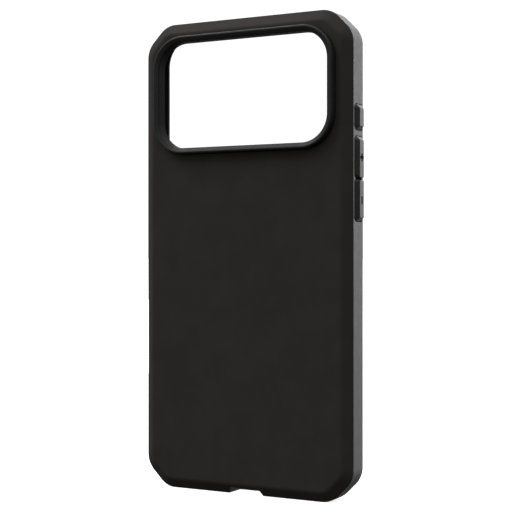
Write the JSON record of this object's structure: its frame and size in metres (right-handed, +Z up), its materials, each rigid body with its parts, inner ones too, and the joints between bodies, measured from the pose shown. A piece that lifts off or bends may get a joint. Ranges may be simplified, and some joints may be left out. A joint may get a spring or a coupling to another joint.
{
  "type": "phone case",
  "caption": "Upright protective phone case: hard bevelled back, soft bumper with front lip, raised camera ring, hidden magnet ring and push keys in the side walls.",
  "frame": {"origin": "centre of the case's box, at the bottom edge that it stands on", "axes": "+Z up along the case's height, -Y the way the back faces, +Y out of the open pocket, +X across the back towards the volume keys"},
  "size_m": [0.0842, 0.015, 0.1678],
  "materials": {
    "hard_shell": "fine matte black",
    "soft_bumper": "matte, soft touch",
    "ring_plastic": "satin",
    "pad_rubber": "honeycomb, matte",
    "cushion_rubber": "ribbed, matte",
    "tape": "thin foam tape",
    "carrier_plastic": "moulded",
    "magnet_plating": "nickel plate",
    "cover_film": "film",
    "key_plastic": "satin",
    "retainer_plastic": "moulded"
  },
  "bodies": {
    "shell": {"back_plate": "hard_shell", "bumper_frame": "soft_bumper", "camera_ring": "ring_plastic", "floor_pad": "pad_rubber", "corner_cushion_1": "cushion_rubber", "corner_cushion_2": "cushion_rubber", "corner_cushion_3": "cushion_rubber", "corner_cushion_4": "cushion_rubber", "magnet_tape": "tape", "magnet_carrier": "carrier_plastic", "ring_magnets": "magnet_plating", "align_magnet": "magnet_plating", "magnet_cover": "cover_film"},
    "action_button": {"action_key": "key_plastic", "action_key_retainer": "retainer_plastic"},
    "volume_up_button": {"volume_up_key": "key_plastic", "volume_up_key_retainer": "retainer_plastic"},
    "volume_down_button": {"volume_down_key": "key_plastic", "volume_down_key_retainer": "retainer_plastic"},
    "side_button": {"side_key": "key_plastic", "side_key_retainer": "retainer_plastic"}
  },
  "joints": [
    {"name": "action_press", "type": "slide", "parent": "shell", "child": "action_button", "axis": [-1, 0, 0], "range_m": [0, 0.0004], "stiffness_N_per_m": 2500},
    {"name": "volume_up_press", "type": "slide", "parent": "shell", "child": "volume_up_button", "axis": [-1, 0, 0], "range_m": [0, 0.0004], "stiffness_N_per_m": 2500},
    {"name": "volume_down_press", "type": "slide", "parent": "shell", "child": "volume_down_button", "axis": [-1, 0, 0], "range_m": [0, 0.0004], "stiffness_N_per_m": 2500},
    {"name": "side_press", "type": "slide", "parent": "shell", "child": "side_button", "axis": [1, 0, 0], "range_m": [0, 0.0004], "stiffness_N_per_m": 2500}
  ]
}
